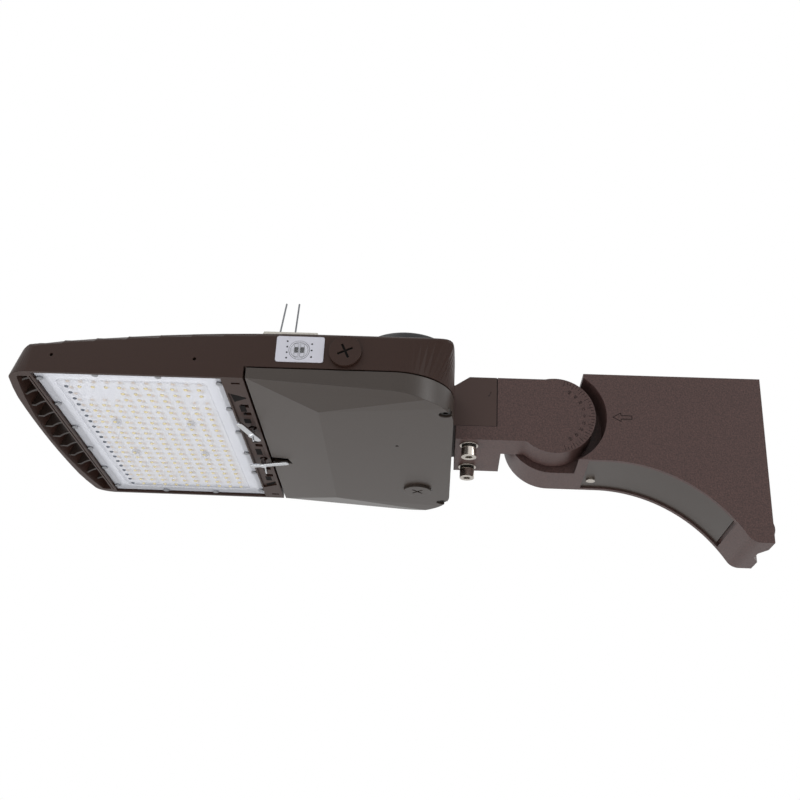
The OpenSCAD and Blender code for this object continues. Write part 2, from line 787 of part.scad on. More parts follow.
// Material above the hinge that lies further from it than the seam allows
module hinge_sweep() {
    r = z_cover_top - hinge_z + seam_gap / 2;
    difference() {
        block(hinge_x, x_back + 2, -half_w, half_w, hinge_z + 4, z_cover_top + 1);
        bar_y(r, -half_w - 1, half_w + 1, hinge_x, hinge_z);
    }
}

module cover_gasket() {
    z1 = z_cover_top + 0.6;
    color("#1e1e1e") from_pole() difference() {
        translate([0, 0, z_cover_top]) linear_extrude(z1 - z_cover_top) intersection() {
            plan2d(1.2);
            translate([x_cover + 0.8, -big]) square([cover_l, 2 * big]);
        }
        translate([0, 0, z_cover_top - 1]) linear_extrude(3) intersection() {
            plan2d(wall_t - 0.4);
            translate([x_cover + cover_t - 0.2, -big]) square([cover_l, 2 * big]);
        }
        block(hinge_x, x_back, -half_w, half_w, z_cover_top - 1, z1 + 1);
    }
}

module cover_plug() {
    color("#57504c") from_pole() translate([cover_plug_x, cover_plug_y, z_cover_bot]) plug(cover_t + 3);
}

module cover_screws() {
    color("#3a3a3c") from_pole() for (s = [-1, 1]) translate([corner_x, s * corner_y, z_cover_bot]) difference() {
        union() {
            bar_z(4.2, 1.4, 4.5);
            bar_z(2, 4.5, 8.5);
        }
        translate([0, 0, 0.5]) cylinder(r = 2.2, h = 2.6, $fn = 6);
    }
}

module hinge_pins() {
    color("#a9acb0") from_pole() for (s = [-1, 1])
        bar_y(pin_r, s * hinge_y - 9.2, s * hinge_y + 9.2, hinge_x, hinge_z);
}

// ---- arm ----

// Fillet that leads the neck's underside into the disc
module neck_fillet2d() {
    f = 6;
    fx = -sqrt(pow(disc_r + f, 2) - pow(f - z_saddle, 2));
    k = disc_r / (disc_r + f);
    difference() {
        polygon([[fx, z_saddle], [fx, z_saddle + 3], [0, z_saddle + 3], [fx * k, (z_saddle - f) * k]]);
        translate([fx, z_saddle - f]) circle(r = f);
    }
}

module arm() {
    color("#4c3f3d") from_pole() difference() {
        union() {
            block(x_saddle, x_wall_end, -half_neck, half_neck, z_saddle, z_block);
            block(x_wall, x_wall_end, -half_neck, half_neck, z_saddle, z_neck_top);
            block(x_wall_end - 1, 0, -half_neck, arm_in, z_saddle, z_neck_top);
            translate([0, arm_in, 0]) rotate([90, 0, 0]) cylinder(r = disc_r, h = half_neck + arm_in, $fn = 120);
            slab_y(-half_neck, arm_in) neck_fillet2d();
            bar_y(hub_r, arm_in - 1, ear_in - 0.3);
        }
        // Wire way from the neck round the bolt's boss
        difference() {
            union() {
                bar_y(wire_r, -half_neck + 7, 0);
                block(x_wall_end, 0, -half_neck + 7, arm_in - 4, -14, 22);
                bar_x(neck_hole_r, x_wall - 1, x_wall_end + 1, neck_hole_y, neck_hole_z);
            }
            bar_y(boss_r, -half_neck, 1);
        }
        // Thread of the knuckle bolt and screw holes of the saddle
        bar_y(m12_r + 0.02, -half_neck + 6, 0);
        for (s = [-1, 1]) bar_z(m8_r + fit, z_saddle - 1, z_block + 1, screw_x, s * screw_y);
    }
}

module knuckle_seal() {
    color("#1d1d1d") from_pole() difference() {
        bar_y(hub_r + 2.6, arm_in + 0.1, ear_in - 0.3);
        bar_y(hub_r + 0.1, arm_in - 1, ear_in + 1);
    }
}

bolt_head_y = half_neck - 9;
module knuckle_bolt() {
    color("#b5b8bb") from_pole() difference() {
        union() {
            bar_y(m12_r, -half_neck + 7, bolt_head_y);
            bar_y(9, bolt_head_y, bolt_head_y + 8);
        }
        translate([0, bolt_head_y + 3, 0]) rotate([-90, 0, 0]) cylinder(r = 5.8, h = 10, $fn = 6);
    }
}

module knuckle_washer() {
    color("#a8abae") from_pole() difference() {
        bar_y(11.5, bolt_head_y - 2.3, bolt_head_y);
        bar_y(m12_r + 0.2, bolt_head_y - 4, bolt_head_y + 2);
    }
}

module saddle_spots() { for (s = [-1, 1]) translate([screw_x, s * screw_y, 0]) children(); }
washer_t = 1.6;
spring_t = 2.4;
module saddle_screws() {
    zh = z_saddle - washer_t - spring_t;
    color("#c8b8a2") from_pole() saddle_spots() difference() {
        union() {
            bar_z(6.5, zh - 8, zh);
            bar_z(m8_r, zh, z_block + 20);
        }
        translate([0, 0, zh - 9]) cylinder(r = 3.5, h = 5.5, $fn = 6);
    }
}

module spring_washers() {
    z0 = z_saddle - washer_t - spring_t;
    color("#3c3a39") from_pole() saddle_spots() difference() {
        bar_z(6.4, z0, z0 + spring_t);
        bar_z(m8_r + 0.2, z0 - 1, z0 + spring_t + 1);
        rotate([0, 0, -70]) translate([2, -0.7, z0 - 1]) cube([8, 1.4, spring_t + 2]);
    }
}

module flat_washers() {
    z0 = z_saddle - washer_t;
    color("#cfc9c0") from_pole() saddle_spots() difference() {
        bar_z(8, z0, z_saddle);
        bar_z(m8_r + 0.2, z0 - 1, z_saddle + 1);
    }
}

// ---- pole bracket ----

foot_r = 12;
arch_x = 43;
z_ear = -ear_r;
z_arch = z_ear - arch_r;
z_foot = bracket_up - face_h;

// Side outline of the bracket: flat top, pole face, round foot and arched underside
module bracket2d() {
    fz = z_foot + foot_r;
    fx = arch_x + sqrt(pow(arch_r + foot_r, 2) - pow(fz - z_arch, 2));
    k = arch_r / (arch_r + foot_r);
    tx = arch_x + (fx - arch_x) * k;
    tz = z_arch + (fz - z_arch) * k;
    difference() {
        translate([0, z_foot]) square([reach, face_h]);
        translate([-1, z_foot - 1]) square([arch_x + 1, z_ear - z_foot + 1]);
        translate([arch_x, z_arch]) circle(r = arch_r, $fn = 360);
        polygon([[fx, fz], [tx, tz], [tx - 12, z_foot - 2], [fx, z_foot - 2]]);
    }
    translate([fx, fz]) circle(r = foot_r);
}

// Band that follows the arched underside between two heights above it
module arch_band2d(h0, h1, x0, turn) {
    difference() {
        translate([arch_x, z_arch]) circle(r = arch_r + h1, $fn = 360);
        translate([arch_x, z_arch]) circle(r = arch_r + h0, $fn = 360);
        translate([-big, -2 * big]) square([arch_x + big, 3 * big]);
        translate([arch_x, z_arch]) rotate(90 - turn) translate([0, -big]) square([2 * big, big]);
        translate([-big, -2 * big]) square([2 * big, 2 * big + z_arch]);
    }
    translate([x0, z_ear + h0]) square([arch_x - x0 + 0.01, h1 - h0]);
}

cover_x = 29;
arch_turn = 50;
cover_screw_x = 36;
cover_screw_y = 13;
pole_wall = 11;
groove_d = 6;
wire_hole_r = 12.5;
module pole_bracket() {
    in_y = half_neck - 7.5;
    lip_y = half_neck - 4.5;
    color("#52443f") from_pole() difference() {
        union() {
            // Near half, cut round the arm's disc
            difference() {
                slab_y(-half_neck, ear_in) bracket2d();
                bar_y(cut_r, -half_neck - 1, ear_in, 0, 0);
                block(-1, 25, -half_neck - 1, ear_in, 0, big);
            }
            // Far half and the ear
            slab_y(ear_in, half_neck) bracket2d();
            translate([0, half_neck, 0]) rotate([90, 0, 0]) cylinder(r = ear_r, h = half_neck - ear_in, $fn = 120);
        }
        // Hollow, open below
        slab_y(-in_y, in_y) difference() {
            translate([cover_x + 2, z_foot]) square([reach - pole_wall - cover_x - 2, face_h - 5]);
            circle(r = cut_r + 5, $fn = 96);
            translate([arch_x, z_arch]) rotate(90 - arch_turn + 2) translate([0, -big]) square([2 * big, big]);
        }
        // Recess of the curved cover
        slab_y(-lip_y, lip_y) arch_band2d(-1, 4.6, cover_x, arch_turn + 1.5);
        bar_z(2.02, z_ear, z_ear + 11, cover_screw_x, cover_screw_y);
        // Wire way from the knuckle into the hollow
        difference() {
            union() {
                bar_y(wire_r, ear_in - 1, 14);
                block(0, cover_x + cut_r, 2, 14, -12, 12);
            }
            bar_y(boss_r, ear_in - 2, 15);
        }
        // Ear: bolt bore and counterbore
        bar_y(m12_r + 0.06, ear_in - 1, half_neck + 1);
        bar_y(12.3, bolt_head_y - washer_t - 0.7 - fit, half_neck + 1);
        // Pole face: groove for a round pole, open at the foot, then bolt holes and wire hole
        translate([reach, 0, z_foot - 1]) linear_extrude(face_h + 1 - 9)
            polygon([[1, -19], [0, -18], [-groove_d, -6.5], [-groove_d, 6.5], [0, 18], [1, 19]]);
        bar_x(wire_hole_r + 2, reach - groove_d, reach + 1, 0, -axis_z);
        for (s = [-1, 1]) bar_x(bolt_r, reach - pole_wall - 1, reach + 1, 0, -axis_z + s * bolt_pitch / 2);
        bar_x(wire_hole_r, reach - pole_wall - 1, reach + 1, 0, -axis_z);
    }
}

module bracket_cover() {
    y = half_neck - 4.5 - fit;
    color("#564944") from_pole() difference() {
        slab_y(-y, y) arch_band2d(1.6, 4.5, cover_x + fit, arch_turn);
        bar_z(2.2, -big, 0, cover_screw_x, cover_screw_y);
    }
}

module bracket_cover_screw() {
    color("#c9b9a4") from_pole() {
        bar_z(4, z_ear - 0.6, z_ear + 1.6, cover_screw_x, cover_screw_y);
        bar_z(2, z_ear + 1.5, z_ear + 10, cover_screw_x, cover_screw_y);
    }
}

pole_bracket();
bracket_cover();
bracket_cover_screw();
arm();
knuckle_bolt();
knuckle_washer();
knuckle_seal();
saddle_screws();
spring_washers();
flat_washers();
housing();
heat_sink();
led_board();
lens();
lens_gasket();
lens_screws();
board_screws();
latch_bushes();
latch_near();
latch_far();
label_plate();
switch_body();
window_cap();
power_slide();
colour_slide();
side_plug();
side_plug_seal();
receptacle();
photocell();
photocell_blades();
spike_strip();
spike_wires();
driver();
driver_screws();
surge_protector();
terminal_block();
driver_cover();
cover_gasket();
cover_plug();
cover_screws();
hinge_pins();
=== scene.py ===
"""Looks of the shoebox area light: its paints, plastics and metals, the small pieces that the
solids don't show, and the studio round it. Metres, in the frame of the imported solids."""

import bmesh
import bpy
import numpy as np
from mathutils import Matrix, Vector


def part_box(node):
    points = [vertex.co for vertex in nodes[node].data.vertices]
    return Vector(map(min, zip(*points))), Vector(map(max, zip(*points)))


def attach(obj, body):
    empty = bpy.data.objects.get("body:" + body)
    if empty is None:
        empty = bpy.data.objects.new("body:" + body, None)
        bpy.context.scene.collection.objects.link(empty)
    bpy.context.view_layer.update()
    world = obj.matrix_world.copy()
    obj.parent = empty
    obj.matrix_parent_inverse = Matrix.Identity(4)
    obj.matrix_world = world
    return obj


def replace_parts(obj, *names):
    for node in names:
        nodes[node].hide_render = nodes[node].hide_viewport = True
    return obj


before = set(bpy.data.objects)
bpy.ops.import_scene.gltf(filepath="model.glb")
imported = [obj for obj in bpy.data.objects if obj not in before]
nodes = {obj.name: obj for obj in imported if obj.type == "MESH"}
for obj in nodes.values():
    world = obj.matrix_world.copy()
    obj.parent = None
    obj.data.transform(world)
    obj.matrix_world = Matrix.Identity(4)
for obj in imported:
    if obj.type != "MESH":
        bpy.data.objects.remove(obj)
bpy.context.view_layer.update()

MM = 0.001
# The knuckle axis in the row frame. The light's sizes below are millimetres from it, and the
# studio's are metres.
PIVOT = np.array([-178.0, 0.0, 33.75])

# The head's near wall, the label on it, and the near faces of the arm's disc and the bracket
WALL_Y = -140.0
LABEL_THICK = 0.6
DISC_FACE_Y = -37.5
# Just behind the head's back wall, where the neck block starts
NECK_START_X = -87.5
EDGE_RADIUS = 0.7


def box_mm(name):
    """The low and high corner of a node, in millimetres from the knuckle axis."""
    return np.array(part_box(name)) / MM - PIVOT


# ---------------------------------------------------------------- colours and shader nodes


def linear(hex_colour):
    """sRGB hex to linear: c / 12.92 below 0.04045, else ((c + 0.055) / 1.055) to the power 2.4."""
    c = np.array([int(hex_colour[i : i + 2], 16) for i in (1, 3, 5)]) / 255
    c = np.where(c <= 0.04045, c / 12.92, ((c + 0.055) / 1.055) ** 2.4)
    return (*c.tolist(), 1.0)


def add(tree, kind, links=(), **settings):
    """Adds one node. A setting that names a property sets it, any other sets a socket, and links
    joins (own input, other node's output) pairs."""
    node = tree.nodes.new(kind)
    for name, value in settings.items():
        if hasattr(node, name):
            setattr(node, name, value)
        else:
            node.inputs[name.replace("_", " ")].default_value = value
    for name, output in links:
        tree.links.new(node.inputs[name], output)
    return node


def finish(name, colour, roughness, metallic=0.0, ior=1.5, grain=None, mottle=0.0, **more):
    """A painted, moulded or metal surface.
    grain: (bump size in mm, bump height in mm), drawn with noise on Object coordinates.
    mottle: how far the noise also lightens and darkens the colour, from 0 to 1."""
    material = bpy.data.materials.new(name)
    material.use_nodes = True
    tree = material.node_tree
    surface = tree.nodes["Principled BSDF"]
    settings = {"Base Color": linear(colour), "Roughness": roughness, "Metallic": metallic}
    if not metallic:
        settings["IOR"] = ior
    settings.update({key.replace("_", " "): value for key, value in more.items()})
    for key, value in settings.items():
        surface.inputs[key].default_value = value
    # Real edges are slightly round, so they catch a thin line of light
    edge = add(tree, "ShaderNodeBevel", samples=4, Radius=EDGE_RADIUS * MM)
    tree.links.new(surface.inputs["Normal"], edge.outputs[0])
    if grain:
        size, height = grain
        place = add(tree, "ShaderNodeTexCoord").outputs["Object"]
        noise = add(
            tree, "ShaderNodeTexNoise", [("Vector", place)], Scale=1 / (size * MM), Detail=2.0
        )
        bump = add(
            tree,
            "ShaderNodeBump",
            [("Height", noise.outputs[0]), ("Normal", edge.outputs[0])],
            Strength=1.0,
            Distance=height * MM,
        )
        tree.links.new(surface.inputs["Normal"], bump.outputs[0])
        if mottle:
            dark, light = (np.array(linear(colour)[:3]) * k for k in (1 - mottle, 1 + mottle))
            mix = add(tree, "ShaderNodeMix", data_type="RGBA")
            mix.inputs[6].default_value = (*dark, 1)
            mix.inputs[7].default_value = (*light, 1)
            tree.links.new(mix.inputs[0], noise.outputs[0])
            tree.links.new(surface.inputs["Base Color"], mix.outputs[2])
    return material


def above(material, level, socket, low, high, axis=2):
    """Gives a socket one value below a level and another above it, along an Object axis."""
    tree = material.node_tree
    surface = tree.nodes["Principled BSDF"]
    place = add(tree, "ShaderNodeTexCoord").outputs["Object"]
    split = add(tree, "ShaderNodeSeparateXYZ", [("Vector", place)])
    over = add(tree, "ShaderNodeMath", [(0, split.outputs[axis])], operation="GREATER_THAN")
    over.inputs[1].default_value = level
    if socket == "Base Color":
        mix = add(tree, "ShaderNodeMix", [(0, over.outputs[0])], data_type="RGBA")
        mix.inputs[6].default_value = linear(low)
        mix.inputs[7].default_value = linear(high)
        tree.links.new(surface.inputs[socket], mix.outputs[2])
    else:
        mix = add(tree, "ShaderNodeMix", [(0, over.outputs[0])], data_type="FLOAT")
        mix.inputs[2].default_value = low
        mix.inputs[3].default_value = high
        tree.links.new(surface.inputs[socket], mix.outputs[0])
    return material


# Dark bronze polyester powder coat on die-cast aluminium: a fine orange-peel grain, satin.
# The neck block behind the head is painted lighter, close to the arm's coat, and lifted further to
# make up for the shade that falls on it.
bronze_coat = above(
    finish("powder_coat_bronze", "#33221c", 0.4, grain=(1.1, 0.05), Specular_IOR_Level=0.22),
    (PIVOT[0] + NECK_START_X) * MM,
    "Base Color",
    "#33221c",
    "#463733",
    axis=0,
)
# The coat on the arm and the bracket: redder, with a coarser grain that shows as a speckle
bracket_coat = finish(
    "powder_coat_bracket",
    "#46322f",
    0.45,
    grain=(1.3, 0.09),
    mottle=1.0,
    Specular_IOR_Level=0.4,
)
# The coat on the cover, its plug and the bracket's curved cover: smoother and greyer
door_coat = finish("powder_coat_door", "#332a24", 0.36, grain=(1.4, 0.02), mottle=0.15)
# The coat on the fins, painted the darkest of the four as shade, so that the slots between them
# read deep
shaded_fin_coat = finish("powder_coat_fins_painted_shade", "#261c17", 0.38, grain=(0.9, 0.03), mottle=0.2)
# Nickel plate on the cap screws, bolt and washers: bright and slightly warm
nickel = finish("nickel_plate", "#c8c1b8", 0.24, metallic=1.0)
# Polished stainless steel: nearly a mirror
polished_steel = finish("polished_stainless", "#d4d6d9", 0.16, metallic=1.0)
# Drawn stainless wire: darker, with a broad soft highlight
wire_steel = finish("drawn_stainless_wire", "#6d6f72", 0.45, metallic=1.0)
# Dull zinc plate: pale grey, with no clear reflections
dull_zinc = finish("dull_zinc_plate", "#9a9b9e", 0.5, metallic=1.0)
# Blackened spring steel: nearly black, with a metal's sheen
black_spring = finish("blackened_spring_steel", "#3b3936", 0.38, metallic=1.0)
# Galvanised sheet: a pale grey metal with a slow ripple
bare_case = finish("galvanised_sheet", "#b9bcbe", 0.42, metallic=1.0, grain=(6, 0.01))
# Bare brass contacts: yellow and fairly bright
brass_blade = finish("bare_brass", "#c9a55c", 0.3, metallic=1.0)
# Moulded silicone rubber: matt black
silicone = finish("black_silicone", "#161514", 0.6)
# Moulded nylon: black, with a low sheen
black_nylon = finish("black_nylon", "#131315", 0.5)
# Moulded polypropylene: black, with the fine grain of its mould
cell_plastic = finish("black_polypropylene", "#1b1b1d", 0.45, grain=(0.6, 0.01))
# Moulded ABS: off-white, with a low sheen
pale_abs = finish("pale_abs", "#e6e5e0", 0.45)
# Frosted polycarbonate: pale and slightly warm, with a soft sheen
strip_plastic = finish("frosted_polycarbonate", "#dedad0", 0.4)
# Clear polycarbonate: hardly seen, but for its sharp highlights
clear_cap = finish("clear_polycarbonate", "#f6f8fb", 0.08, ior=1.58, Alpha=0.06)
# Silver polyester film, with a soft even sheen
label_film = finish("silver_polyester_label", "#d2d2dc", 0.35)
# Clear moulded domes tinted by the warm chips behind them, and dark beads at the front edge
dome_clear = finish("warm_clear_dome", "#e9d9a2", 0.15, ior=1.58, Alpha=0.55)
bead_glass = finish("smoked_bead", "#565c66", 0.15, ior=1.58)
# Painted shade for the marks and recesses in the casting, which read as shadow: nearly black, with
# no gloss
mark_shade_black = finish("engraved_shadow", "#0f0c0b", 0.7, Specular_IOR_Level=0.1)
# Black print and knobs: no gloss
dot_black = finish("printed_black", "#0e0e11", 0.6, Specular_IOR_Level=0.15)
# White solder mask with warm phosphor chips standing 0.8 mm below it
board_mask = above(
    finish("white_solder_mask", "#f4f4f2", 0.45),
    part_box("led_board")[0][2] + 0.7 * MM,
    "Base Color",
    "#e3b54a",
    "#e9e9ea",
)
# Clear moulded polycarbonate: the raised field is glass clear, the flange round it is frosted
lens_clear = above(
    finish("clear_lens_polycarbonate", "#e8eaf2", 0.14, ior=1.58),
    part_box("lens")[0][2] + 1.7 * MM,
    "Alpha",
    0.16,
    0.5,
)

coats = {
    bronze_coat: "housing side_plug",
    bracket_coat: "pole_bracket arm",
    shaded_fin_coat: "heat_sink",
    door_coat: "driver_cover cover_plug bracket_cover",
    nickel: "saddle_screws flat_washers bracket_cover_screw knuckle_bolt knuckle_washer",
    dull_zinc: "lens_screws",
    polished_steel: "latch_near latch_far latch_bushes board_screws driver_screws hinge_pins",
    wire_steel: "spike_wires",
    black_spring: "spring_washers cover_screws",
    bare_case: "driver",
    brass_blade: "photocell_blades",
    silicone: "knuckle_seal lens_gasket cover_gasket side_plug_seal",
    black_nylon: "receptacle power_slide colour_slide",
    cell_plastic: "photocell",
    label_film: "label_plate",
    pale_abs: "switch_body surge_protector terminal_block",
    strip_plastic: "spike_strip",
    board_mask: "led_board",
    clear_cap: "window_cap",
    lens_clear: "lens",
}
for coat, names in coats.items():
    for name in names.split():
        nodes[name].data.materials.clear()
        nodes[name].data.materials.append(coat)


# ---------------------------------------------------------------- shapes and pieces


def ride_mesh(name, mesh, material, body):
    """Puts a finished mesh into the scene in one material, riding on a body."""
    mesh.materials.clear()
    mesh.materials.append(material)
    piece = bpy.data.objects.new(name, mesh)
    bpy.context.scene.collection.objects.link(piece)
    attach(piece, body)
    return piece


def mesh_piece(name, part, material, body, smooth=False):
    """A closed mesh from (vertices, faces) in millimetres from the knuckle axis."""
    verts, faces = part
    mesh = bpy.data.meshes.new(name)
    mesh.from_pydata(((np.asarray(verts, float) + PIVOT) * MM).tolist(), [], faces)
    if smooth:
        mesh.shade_smooth()
        mesh.set_sharp_from_angle(angle=np.radians(35))
    return ride_mesh(name, mesh, material, body)


def points_of(mesh):
    """A mesh's points as one array, as they are stored."""
    co = np.empty(len(mesh.vertices) * 3)
    mesh.vertices.foreach_get("co", co)
    return co.reshape(-1, 3)


def merge(parts):
    """Joins several (vertices, faces) pairs into one."""
    verts, faces, start = [], [], 0
    for v, f in parts:
        verts.append(np.asarray(v, float))
        faces += [tuple(int(i) + start for i in face) for face in f]
        start += len(v)
    return np.vstack(verts), faces


def tube(points, radii, sides=24):
    """Rings of given radii round the points of a path, square to it, with closed ends:
    point + radius * (cos t * u + sin t * v), where u and v are square to the path."""
    points, radii = np.asarray(points, float), np.asarray(radii, float)
    along = np.gradient(points, axis=0)
    along /= np.linalg.norm(along, axis=1)[:, None]
    guide = np.where(np.abs(along[:, :1]) < 0.9, [[1.0, 0, 0]], [[0, 1.0, 0]])
    u = np.cross(along, guide)
    u /= np.linalg.norm(u, axis=1)[:, None]
    v = np.cross(along, u)
    turn = np.linspace(0, 2 * np.pi, sides, endpoint=False)[None, :, None]
    ring = np.cos(turn) * u[:, None] + np.sin(turn) * v[:, None]
    verts = (points[:, None] + radii[:, None, None] * ring).reshape(-1, 3)
    last = (len(points) - 1) * sides
    faces = [
        (k + a, k + (a + 1) % sides, k + sides + (a + 1) % sides, k + sides + a)
        for k in range(0, last, sides)
        for a in range(sides)
    ]
    return verts, faces + [tuple(range(sides))[::-1], tuple(range(last, last + sides))]


def plate(outline, bottom, top):
    """A flat outline in X and Y, anticlockwise, made solid between two heights: the outline once
    at each height, joined by walls."""
    outline = np.asarray(outline, float)
    n = len(outline)
    verts = np.vstack([np.column_stack((outline, np.full(n, z))) for z in (bottom, top)])
    i = list(range(n))
    faces = [(a, (a + 1) % n, n + (a + 1) % n, n + a) for a in i]
    return verts, faces + [tuple(i[::-1]), tuple(n + a for a in i)]


def near_plate(outline, bottom, top, y):
    """A plate with its outline in X and Z, and its heights measured from y towards -Y."""
    verts, faces = plate(outline, bottom, top)
    return np.column_stack((verts[:, 0], y - verts[:, 2], verts[:, 1])), faces


def stroke(a, b, width):
    """The outline of a straight line between two points, half its width to each side."""
    a, b = np.asarray(a, float), np.asarray(b, float)
    along = (b - a) / np.linalg.norm(b - a)
    side = np.array([-along[1], along[0]]) * width / 2
    return np.array([a - side, b - side, b + side, a + side])


def loop_strokes(corners, width):
    """The strokes that join each corner to the next, and the last to the first."""
    corners = list(corners)
    return [stroke(a, b, width) for a, b in zip(corners, corners[1:] + corners[:1])]


def disc(x, y, radius, steps=32):
    """The outline of a disc: its centre plus the radius times (cos t, sin t) over a full turn."""
    turn = np.linspace(0, 2 * np.pi, steps, endpoint=False)
    return np.column_stack((x + radius * np.cos(turn), y + radius * np.sin(turn)))


def rectangle(x, y, wide, tall):
    """The outline of a rectangle: half its sizes to each side of a centre."""
    w, t = wide / 2, tall / 2
    return [(x - w, y - t), (x + w, y - t), (x + w, y + t), (x - w, y + t)]


def stadium(x0, x1, half, steps=12):
    """A bar along X with round ends: half a turn of the half width at each end."""
    turn = np.linspace(-np.pi / 2, np.pi / 2, steps)
    right = np.column_stack((x1 - half + half * np.cos(turn), half * np.sin(turn)))
    left = np.column_stack((x0 + half - half * np.cos(turn), -half * np.sin(turn)))
    return np.vstack((right, left))


def polar(degrees):
    """The unit direction at an angle: (cos, sin)."""
    return np.array([np.cos(np.radians(degrees)), np.sin(np.radians(degrees))])


# ---------------------------------------------------------------- latches

LATCH_X = box_mm("latch_bushes")[:, 0].mean()
LATCH_Y = 36.0
BLADE_Z = -28.0


def latch(name, y, turn):
    """A polished blade on a stem, with a small hub and a thin bent leg, drawn about the latch's
    own axis, turned in plan and moved there."""
    leg_end = max(box_mm(name)[0, 2], BLADE_Z - 6.5)
    hub = [(0, 0, BLADE_Z - drop) for drop in (-0.4, 0.5, 1.0, 1.3)]
    leg = [(1.5, 1, BLADE_Z), (2, 2.0, BLADE_Z - 2.5), (2.6, 3.6, leg_end)]
    verts, faces = merge(
        [
            plate(stadium(-13.5, 25.5, 2.9), BLADE_Z, BLADE_Z + 1.8),
            tube([(0, 0, BLADE_Z + 1.5), (0, 0, -8)], [2.3, 2.3]),
            tube(hub, [3.5, 3.4, 2.6, 1.2]),
            tube(leg, [0.9, 0.9, 0.8], 12),
        ]
    )
    c, s = polar(turn)
    verts[:, :2] = verts[:, :2] @ np.array([[c, s], [-s, c]])
    verts += [LATCH_X, y, 0]
    piece = mesh_piece(
        name + "_blade", (verts, faces), polished_steel, name, smooth=True
    )
    bevel = piece.modifiers.new("edges", "BEVEL")
    bevel.width = 0.35 * MM
    bevel.segments = 2
    bevel.limit_method = "ANGLE"
    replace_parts(piece, name)


latch("latch_near", -LATCH_Y, -109)
latch("latch_far", LATCH_Y, -16.7)


# ---------------------------------------------------------------- the casting's finer form

# Centre and radius of the rounded back corners in plan
CORNER_X = -138.3
CORNER_Y = 90.0
CORNER_R = 50.0
# Heights: the rim, the seam that the flare starts from, the roof, and the channel's new floor
RIM_Z = -22.2
SEAM_Z = -11.5
ROOF_Z = 19.3
CHANNEL_FLOOR_Z = -20.6


def reshaped(name, move, material):
    """A copy of a solid's mesh, merged, with its points moved by a rule."""
    mesh = nodes[name].data.copy()
    mesh.name = name + "_form"
    work = bmesh.new()
    work.from_mesh(mesh)
    bmesh.ops.remove_doubles(work, verts=work.verts, dist=1e-6)
    work.to_mesh(mesh)
    work.free()
    points = points_of(mesh) / MM - PIVOT
    mesh.vertices.foreach_set("co", ((move(points) + PIVOT) * MM).ravel())
    mesh.shade_flat()
    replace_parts(ride_mesh(name + "_form", mesh, material, "head"), name)


def cast_form(points):
    """Moves the points of the casting in four ways. The back corners flare from round at the
    seam to nearly square at the roof: each point moves out along its radius, by the ratio of a
    superellipse of order 12 to a circle, in proportion to its height. The front lip thins and
    moves ahead and the slot behind it widens, not at all above z = -6 and in full below z = -20.
    The nose rounds back with the cube of its height over the rim. The latch channel's floor comes
    down close to the rim."""
    x, y, z = points.T.copy()
    start = x.copy()
    u = np.clip((x - CORNER_X) / CORNER_R, 0, None)
    v = np.clip((np.abs(y) - CORNER_Y) / CORNER_R, 0, None)
    far = np.hypot(u, v)
    inside = (u > 0) & (v > 0) & (z > SEAM_Z)
    cos, sin = u / np.maximum(far, 1e-9), v / np.maximum(far, 1e-9)
    square = np.where(inside, (cos**12 + sin**12 + 1e-12) ** (-1 / 12), 1)
    grow = 1 + np.clip((z - SEAM_Z) / (ROOF_Z - SEAM_Z), 0, 1) * (square - 1)
    x = np.where(inside, CORNER_X + u * CORNER_R * grow, x)
    y = np.where(inside, np.sign(y) * (CORNER_Y + v * CORNER_R * grow), y)
    # Shifts of the lip's tip, its inner face, the slot's back and a place behind it
    low = np.clip((-6 - z) / 14, 0, 1)
    x = x + low * np.interp(x, [-449.3, -444.8, -430, -423.3], [-2.7, -4.2, 2.1, 0])
    # 10 mm of lean at 27 mm over the rim and 13 mm at most, fading out from x = -440 to -405
    rise = np.clip((z - RIM_Z) / 27, 0, 1.2) ** 3
    x = x + 10 * np.minimum(rise, 1.3) * np.clip((-405 - x) / 35, 0, 1)
    # In the solid, the channel's floor lies at z = -14.2
    floor = (np.abs(z + 14.2) < 0.06) & (start > -272.6) & (start < -252.0) & (np.abs(y) < 134)
    z = np.where(floor, CHANNEL_FLOOR_Z, z)
    return np.column_stack((x, y, z))


reshaped("housing", cast_form, bronze_coat)
# The fins take the coat that is painted darker to stand for the shade in their slots
reshaped("heat_sink", cast_form, shaded_fin_coat)


# ---------------------------------------------------------------- marks on the arm and bracket


def disc_scale():
    """Tick marks every 5 degrees round the right of the arm's disc, longer every 15 degrees:
    strokes along the radius, from an inner radius to the rim."""
    rim, short, long = 34, 31.2, 29.0
    parts = []
    for angle in range(-75, 80, 5):
        way = polar(angle)
        inner = long if angle % 15 == 0 else short
        parts.append(near_plate(stroke(way * inner, way * rim, 0.35), -0.05, 0.08, DISC_FACE_Y))
    mesh_piece("disc_ticks", merge(parts), mark_shade_black, "head")


def disc_number(angle):
    """One angle number, with its line of writing along the disc's radius at that angle."""
    centre_radius, sunk = 25.2, 0.02
    name = f"disc_number_{angle + 60}"
    curve = bpy.data.curves.new(name, "FONT")
    curve.body = str(abs(angle))
    curve.size = 3.6
    curve.extrude = 0.06
    curve.align_x = "CENTER"
    curve.align_y = "CENTER"
    text = bpy.data.objects.new("text", curve)
    bpy.context.scene.collection.objects.link(text)
    drawn = text.evaluated_get(bpy.context.evaluated_depsgraph_get())
    mesh = bpy.data.meshes.new_from_object(drawn)
    bpy.data.objects.remove(text)
    co = points_of(mesh)
    c, s = polar(angle)
    flat = co[:, :2] @ np.array([[c, s], [-s, c]]) + centre_radius * polar(angle)
    place = np.column_stack((flat[:, 0], DISC_FACE_Y - co[:, 2] - sunk, flat[:, 1]))
    mesh.vertices.foreach_set("co", ((place + PIVOT) * MM).ravel())
    ride_mesh(name, mesh, mark_shade_black, "head")


def neck_joint():
    """Painted shade in the gap between the neck block and the arm's wall: a thin dark plate."""
    half_width = 36.9
    joint = plate(rectangle(-50.15, 0, 0.7, 2 * half_width), -12.0, 33.6)
    mesh_piece("neck_joint", joint, mark_shade_black, "head")


